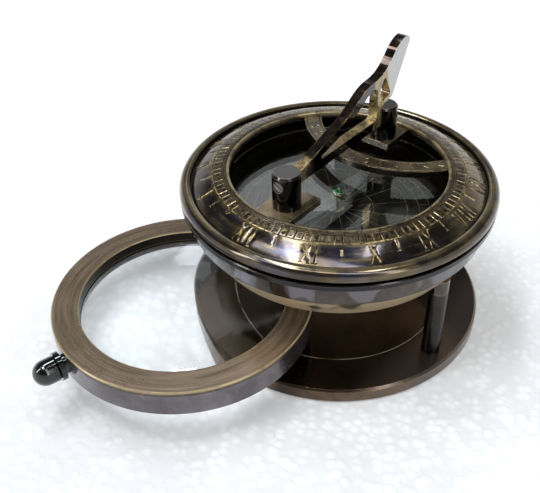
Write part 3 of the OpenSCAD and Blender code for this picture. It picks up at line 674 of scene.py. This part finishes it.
def groove_rows(cuts):
    """The lines of all grooves, each with whether it closes."""
    rows = []
    for cut in cuts:
        if isinstance(cut, Cut):
            rows.extend([(cut.outline(), True), (cut.spine(), False)])
        else:
            rows.extend((row, cut.closed) for row in cut.rows())
    return rows


def nearby_grooves(cuts):
    """The straight grooves by the squares of a coarse grid that they touch."""
    cells = {}
    for cut in cuts:
        if isinstance(cut, Cut):
            xs, ys = zip(*[(p.x, p.y) for p in cut.outline()])
            for i in range(int(min(xs) // LOOKUP), int(max(xs) // LOOKUP) + 1):
                for j in range(int(min(ys) // LOOKUP), int(max(ys) // LOOKUP) + 1):
                    cells.setdefault((i, j), []).append(cut)
    return cells


def engraved_faces(cuts, loops, grid, inside):
    """Triangulates a flat region with its grooves: points, triangles, depths and kinds."""
    points, edges = chained(loops + groove_rows(cuts))
    flat, _, tris, *_ = delaunay_2d_cdt(points + grid, edges, [], 0, 1e-5, False)
    cells = nearby_grooves(cuts)
    rings = [cut for cut in cuts if isinstance(cut, Circle)]

    def deepest(p):
        best, gold = 0.0, True
        for cut in cells.get((int(p.x // LOOKUP), int(p.y // LOOKUP)), []) + rings:
            depth = cut.depth_at(p)
            if depth > best:
                best, gold = depth, cut.gold
        return best, gold

    kept, kinds = [], []
    for tri in tris:
        a, b, c = (flat[i] for i in tri)
        middle = (a + b + c) / 3
        if not inside(middle):
            continue
        depth, gold = deepest(middle)
        kept.append(tuple(tri if (b - a).cross(c - a) >= 0 else tri[::-1]))
        kinds.append(PLAIN if depth <= LEAST_CUT else GOLD_CUT if gold else DARK_CUT)
    return flat, kept, [deepest(p)[0] for p in flat], kinds


def make_piece(name, verts, faces, kinds, mats, body):
    """A mesh piece in metres from millimetre points, riding on a body."""
    mesh = bpy.data.meshes.new(name)
    mesh.from_pydata([tuple(c * MM for c in v) for v in verts], [], faces)
    for mat in mats:
        mesh.materials.append(mat)
    mesh.polygons.foreach_set("material_index", kinds)
    bm = bmesh.new()
    bm.from_mesh(mesh)
    bmesh.ops.remove_doubles(bm, verts=bm.verts, dist=2e-7)
    loose = [v for v in bm.verts if not v.link_faces]
    bmesh.ops.delete(bm, geom=loose, context="VERTS")
    bmesh.ops.recalc_face_normals(bm, faces=bm.faces)
    bm.to_mesh(mesh)
    bm.free()
    mesh.polygons.foreach_set("use_smooth", [True] * len(mesh.polygons))
    mesh.set_sharp_from_angle(angle=math.radians(SHARP_ANGLE))
    obj = bpy.data.objects.new(name, mesh)
    bpy.context.scene.collection.objects.link(obj)
    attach(obj, body)
    return obj


def band_z(r):
    """Height of the crowned band at a distance from the axis."""
    return TOP_Z - CROWN * ((r - INNER_R) / (BAND_R - INNER_R)) ** 2


def around(r, degrees):
    """The point at a distance and an angle from the dial's centre."""
    a = math.radians(degrees)
    return Vector((r * math.cos(a), r * math.sin(a)))


def radial(r0, r1, degrees, width, depth, gold=True):
    """A groove that points to the dial's centre."""
    return Cut(around(r0, degrees), around(r1, degrees), width, depth, gold)


def letter_strokes(letter):
    """A letter's strokes as (u0, v0, u1, v1, width), with v 1 at the top, and its whole width."""
    if letter == "I":
        return [(0.4, -1, 0.4, 1, 0.40), (0.05, 1, 0.75, 1, 0.2), (0.05, -1, 0.75, -1, 0.2)], 1.0
    if letter == "V":
        return [(0.25, 1, 1.0, -1, 0.42), (1.65, 1, 1.0, -1, 0.24),
                (0.0, 1, 0.6, 1, 0.2), (1.35, 1, 1.9, 1, 0.2)], 2.1
    return [(0.25, 1, 1.55, -1, 0.42), (1.55, 1, 0.25, -1, 0.24),
            (0.0, 1, 0.6, 1, 0.2), (1.25, 1, 1.8, 1, 0.2),
            (0.0, -1, 0.6, -1, 0.2), (1.25, -1, 1.8, -1, 0.2)], 2.0


def numeral(text, degrees, r_mid=32.05, half=1.85, wide=1.3, depth=0.17):
    """Grooves of a Roman numeral on the band, with its top towards the dial's centre."""
    letters = [letter_strokes(c) for c in text]
    total = (sum(w for _, w in letters) - 0.2) * wide
    cuts, u = [], -total / 2
    for strokes, width in letters:
        for u0, v0, u1, v1, w in strokes:
            ends = []
            for uu, vv in ((u / wide + u0, v0), (u / wide + u1, v1)):
                r = r_mid - vv * half + random.uniform(-0.12, 0.12)
                ends.append(around(r, degrees + math.degrees(uu * wide / r_mid)
                                   + random.uniform(-0.15, 0.15)))
            cuts.append(Cut(ends[0], ends[1], w, depth * (0.7 + 0.6 * w)))
        u += width * wide
    return cuts


HOURS = [("XII", -92), ("XI", -65), ("X", -41), ("IX", -19), ("VIII", 4), ("VII", 25.5),
         ("VI", 44), ("V", 63), ("IIII", 82), ("I", -124), ("II", -146.5), ("III", -166),
         ("IIII", 175), ("V", 157), ("VI", 139)]
HALVES = [-79, -31.5, -8.5, 15.5, 35, 53, -116, -135.5, -157, 166, 148]


def ladder_cuts():
    """Four lines, and in each cell of the ladder a rung and a wide dark groove."""
    cuts = [Circle((0, 0), r, 0.22, 0.10, gold=False) for r in LIP_LINES]
    cuts.append(Circle((0, 0), LADDER_IN, 0.2, 0.10, gold=False))
    cuts.append(Circle((0, 0), LADDER_OUT, 0.30, 0.13))
    step = 360 / LADDER_CELLS
    for i in range(LADDER_CELLS):
        rung = FIRST_CELL + i * step + random.uniform(-0.25, 0.25)
        cuts.append(radial(LADDER_IN - 0.05, LADDER_OUT, rung, random.uniform(0.2, 0.32), 0.12,
                           gold=i % 3 != 1))
        middle = FIRST_CELL + (i + 0.5) * step + random.uniform(-0.2, 0.2)
        cuts.append(radial(*CELL_GROOVE, middle, random.uniform(0.7, 0.95), 0.07, gold=False))
    return cuts


def hour_cuts():
    """The hours' numerals, and a line with a cross stroke at each half hour."""
    cuts = []
    for text, degrees in HOURS:
        cuts.extend(numeral(text, degrees))
    for degrees in HALVES:
        cuts.append(radial(LADDER_OUT, HALF_TIP, degrees, 0.3, 0.14))
        cuts.append(radial(HALF_TIP - 0.1, HALF_TIP + 0.1, degrees, 0.9, 0.1))
    return cuts


def rear_cuts():
    """Lines and a row of ticks on the back's left, and a rougher row of ticks on its right."""
    left, right = 92, 24
    cuts = [Circle((0, 0), r, 0.2, 0.09, gold=False, start=math.radians(left),
                   end=math.radians(178), steps=150) for r in REAR_LINES]
    for i in range(46):
        degrees = left + i * 1.9 + random.uniform(-0.3, 0.3)
        cuts.append(radial(REAR_LINES[-1], TICKS_OUT, degrees, 0.22, 0.1, gold=i % 2 == 0))
    for i in range(34):
        degrees = right + i * 2.0 + random.uniform(-0.4, 0.4)
        inner = 33.0 + random.uniform(-0.3, 0.3)
        cuts.append(radial(inner, TICKS_OUT, degrees, 0.24, 0.1, gold=i % 3 == 0))
    return cuts


def band_cuts():
    """All grooves of the band, with three punched circles and a short stroke."""
    cuts = ladder_cuts() + hour_cuts() + rear_cuts()
    for r, degrees in ((29.3, -111), (30.35, -106.5), (28.6, -77.5)):
        cuts.append(Circle(around(r, degrees), 0.5, 0.2, 0.1, steps=20))
    cuts.append(radial(30.9, 32.2, -53, 0.5, 0.13))
    return cuts


def band_profile(start, end):
    """The rest of the ring's section as (radius, z): lip, underside, seat, rim, bead and hollow."""
    turns = [math.radians(120 * i / BEAD_STEPS) for i in range(BEAD_STEPS + 1)]
    bead = [(BEAD_X + BEAD_R * math.cos(a), BEAD_Z + BEAD_R * math.sin(a)) for a in turns]
    return [(start, band_z(start)), (INNER_R + 0.14, TOP_Z - 0.06), (INNER_R + 0.04, TOP_Z - 0.15),
            (INNER_R, TOP_Z - 0.3), (INNER_R, TOP_Z - 1.6), (27.2, TOP_Z - 1.7), (31.6, 38.3),
            (32.8, 36.7), (34.16, 36.7), (34.16, 37.0), (35.84, 37.0), (35.84, 36.1),
            (37.0, 36.1), (37.5, 36.79), *bead, (34.82, 37.95), (34.74, 37.72),
            (34.62, 37.74), (end, band_z(end))]


def build_dial_band():
    """The dial's ring: an engraved crowned band, its bead and its underside, as one closed skin."""
    start, end = INNER_R + 0.3, BAND_R
    loops = [(arc_points((0, 0), r), True) for r in (start, end)]
    grid = []
    for k, r in enumerate((30.3, 30.95, 31.6, 32.25, 32.9, 33.55, 34.0)):
        grid.extend(around(r, 360 * (i + 0.5 * (k % 2)) / GRID_STEPS) for i in range(GRID_STEPS))
    flat, faces, depths, kinds = engraved_faces(
        band_cuts(), loops, grid, lambda p: start < p.length + 1e-3 and p.length < end + 1e-3)
    verts = [(p.x, p.y, band_z(p.length) - d) for p, d in zip(flat, depths)]
    first = len(verts)
    for r, z in band_profile(start, end):
        verts.extend((*p, z) for p in arc_points((0, 0), r))
    for a in range(first, len(verts) - RING_STEPS, RING_STEPS):
        b = a + RING_STEPS
        for i in range(RING_STEPS):
            j = (i + 1) % RING_STEPS
            faces.append((a + i, a + j, b + j, b + i))
            kinds.append(PLAIN)
    obj = make_piece("dial_band", verts, faces, kinds, DIAL_MATS, "stand")
    return obj


def in_bridge(p):
    """Whether a point is on one of the tongues or on the hour arc."""
    if p.length > INNER_R + 0.25:
        return False
    half, end = REAR_TONGUE if p.y > 0 else FRONT_TONGUE
    tongue = abs(p.x) < half and abs(p.y) > abs(end)
    reach = (p - Vector(ARC_CENTRE)).length
    return tongue or ARC_IN < reach < ARC_OUT


def curl_point(degrees, t):
    """A point of an S curl across the arc, with t from 0 at its outer end to 1 at its inner end."""
    middle = (ARC_IN + ARC_OUT) / 2
    r = middle + 1.0 - 2.0 * t
    a = math.radians(degrees + math.degrees(0.55 * math.sin(TAU * t) / middle))
    return Vector(ARC_CENTRE) + r * Vector((math.cos(a), math.sin(a)))


def arc_cuts():
    """Two border lines along the hour arc, and the part of a row of S curls that lies on it."""
    cuts = [Circle(ARC_CENTRE, r, 0.22, 0.10, gold=False, start=math.pi, end=TAU, steps=160)
            for r in (ARC_IN + 0.55, ARC_OUT - 0.55)]
    for i in range(CURLS):
        for k in range(CURL_PARTS):
            a, b = (curl_point(FIRST_CURL + i * 8.4, t / CURL_PARTS) for t in (k, k + 1))
            if ((a + b) / 2).length < INNER_R - 0.6:
                cuts.append(Cut(a, b, 0.26, 0.09, gold=(i + k) % 3 == 0))
    return cuts


def build_bridge():
    """The two tongues and the hour arc, with engraving on the arc."""
    loops = [(arc_points((0, 0), INNER_R + 0.25), True)]
    for half, end in (FRONT_TONGUE, REAR_TONGUE):
        far = math.copysign(27.0, end)
        loops.append(([Vector((-half, end)), Vector((half, end)), Vector((half, far)),
                       Vector((-half, far))], True))
    for r in (ARC_IN, ARC_OUT):
        loops.append((arc_points(ARC_CENTRE, r, math.pi, TAU, 120), False))
    flat, top, depths, kinds = engraved_faces(arc_cuts(), loops, [], in_bridge)
    verts = [(p.x, p.y, BRIDGE_Z - d) for p, d in zip(flat, depths)]
    verts += [(p.x, p.y, BRIDGE_Z - BRIDGE_H) for p in flat]
    down = len(flat)
    sides = dict.fromkeys(side for a, b, c in top for side in ((a, b), (b, c), (c, a)))
    faces = top + [(c + down, b + down, a + down) for a, b, c in top]
    faces += [(b, a, a + down, b + down) for a, b in sides if (b, a) not in sides]
    kinds += [PLAIN] * (len(faces) - len(kinds))
    obj = make_piece("dial_bridge", verts, faces, kinds, DIAL_MATS, "stand")
    return obj


def build_stage():
    """A wide floor under the base."""
    mesh = bpy.data.meshes.new("floor")
    size = 3.0
    mesh.from_pydata([(-size, -size, 0), (size, -size, 0), (size, size, 0), (-size, size, 0)],
                     [], [(0, 1, 2, 3)])
    mesh.materials.append(floor_board())
    floor = bpy.data.objects.new("floor", mesh)
    bpy.context.scene.collection.objects.link(floor)


def build_world():
    """White where it is looked at, a room that darkens upwards in mirrors, and soft light."""
    world = bpy.data.worlds.new("studio")
    bpy.context.scene.world = world
    n = Nodes(world, "ShaderNodeOutputWorld")
    path = n.new("ShaderNodeLightPath").outputs
    height = n.split(n.new("ShaderNodeTexCoord").outputs["Generated"])[2]
    see_through = n.most(path["Is Camera Ray"], path["Is Transmission Ray"])
    mirrored = n.times(path["Is Glossy Ray"], n.ramp(height, 0.22, 0.48, 0.85, 0.12))
    looks = n.math("LESS_THAN", path["Diffuse Depth"], 0.5)
    seen = n.times(n.most(see_through, mirrored), looks)
    as_light = n.math("SUBTRACT", 1.0, n.times(looks, n.most(see_through, path["Is Glossy Ray"])))
    strength = n.math("ADD", seen, n.times(as_light, 0.5))
    back = n.new("ShaderNodeBackground", {"Color": (1.0, 1.0, 1.0), "Strength": strength})
    n.put(n.out.inputs[0], back.outputs[0])


CENTRE = (0, 0, 0)
DIAL_AT = (0, 0, 0.04)
CASE_AT = (0, 0, 0.03)
DAYLIGHT = (0.95, 0.97, 1.0)
SKYLIGHT = (0.86, 0.93, 1.0)

# Each lamp's name, place, aim, (width, length), power and colour, in metres and watts
LAMPS = (
    ("softbox_top", (0.02, -0.20, 0.68), CENTRE, (0.80, 0.11), 1.8, DAYLIGHT),
    ("strip_streak", (-0.17, -0.08, 0.70), DIAL_AT, (0.60, 0.08), 2.9, SKYLIGHT),
    ("strip_streak_right", (0.13, 0.10, 0.72), DIAL_AT, (0.20, 0.06), 0.7, SKYLIGHT),
    ("softbox_front", (-0.35, -0.55, 0.45), CASE_AT, (0.10, 0.40), 1.4, DAYLIGHT),
    ("strip_right", (0.55, -0.15, 0.40), CASE_AT, (0.10, 0.50), 0.8, DAYLIGHT),
    ("panel_back", (-0.55, 0.62, 0.56), DIAL_AT, (0.20, 0.12), 0.06, (0.93, 0.97, 1.0)),
)


def build_lights():
    for name, place, aim, size, watts, colour in LAMPS:
        lamp = bpy.data.lights.new(name, "AREA")
        lamp.shape = "RECTANGLE"
        lamp.size, lamp.size_y = size
        lamp.energy = watts
        lamp.color = colour
        obj = bpy.data.objects.new(name, lamp)
        obj.location = place
        obj.rotation_euler = (Vector(aim) - Vector(place)).to_track_quat("-Z", "Y").to_euler()
        bpy.context.scene.collection.objects.link(obj)


# The camera's place and target in millimetres, its roll in degrees and its lens in millimetres
EYE = (88.5, -129.35, 139.16)
TARGET = (-12.46, -10.76, 17.49)
ROLL = -1.62
LENS = 52.06


def build_camera():
    """The camera at the photograph's angle."""
    eye = Vector(EYE) * MM
    target = Vector(TARGET) * MM
    roll = math.radians(ROLL)
    forward = (target - eye).normalized()
    level = forward.cross(Vector((0, 0, 1))).normalized()
    upright = level.cross(forward)
    right = math.cos(roll) * level + math.sin(roll) * upright
    up = -math.sin(roll) * level + math.cos(roll) * upright
    cam = bpy.data.cameras.new("camera")
    cam.lens = LENS
    cam.sensor_width = 36.0
    cam.sensor_fit = "HORIZONTAL"
    cam.clip_start = 0.01
    cam.clip_end = 20.0
    obj = bpy.data.objects.new("camera", cam)
    matrix = obj.matrix_world.copy()
    for i in range(3):
        matrix[i] = (right[i], up[i], -forward[i], eye[i])
    obj.matrix_world = matrix
    bpy.context.scene.collection.objects.link(obj)
    bpy.context.scene.camera = obj


def set_look():
    """The Standard view, and glass that casts no shadow on what lies under it."""
    bpy.context.scene.view_settings.view_transform = "Standard"
    for name in ("magnifier_lens", "compass_glass"):
        NODES[name].visible_shadow = False


dress_nodes()
BAND = build_dial_band()
BRIDGE = build_bridge()
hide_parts("dial_ring")
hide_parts("dial_ring")
build_stage()
build_world()
build_lights()
build_camera()
set_look()
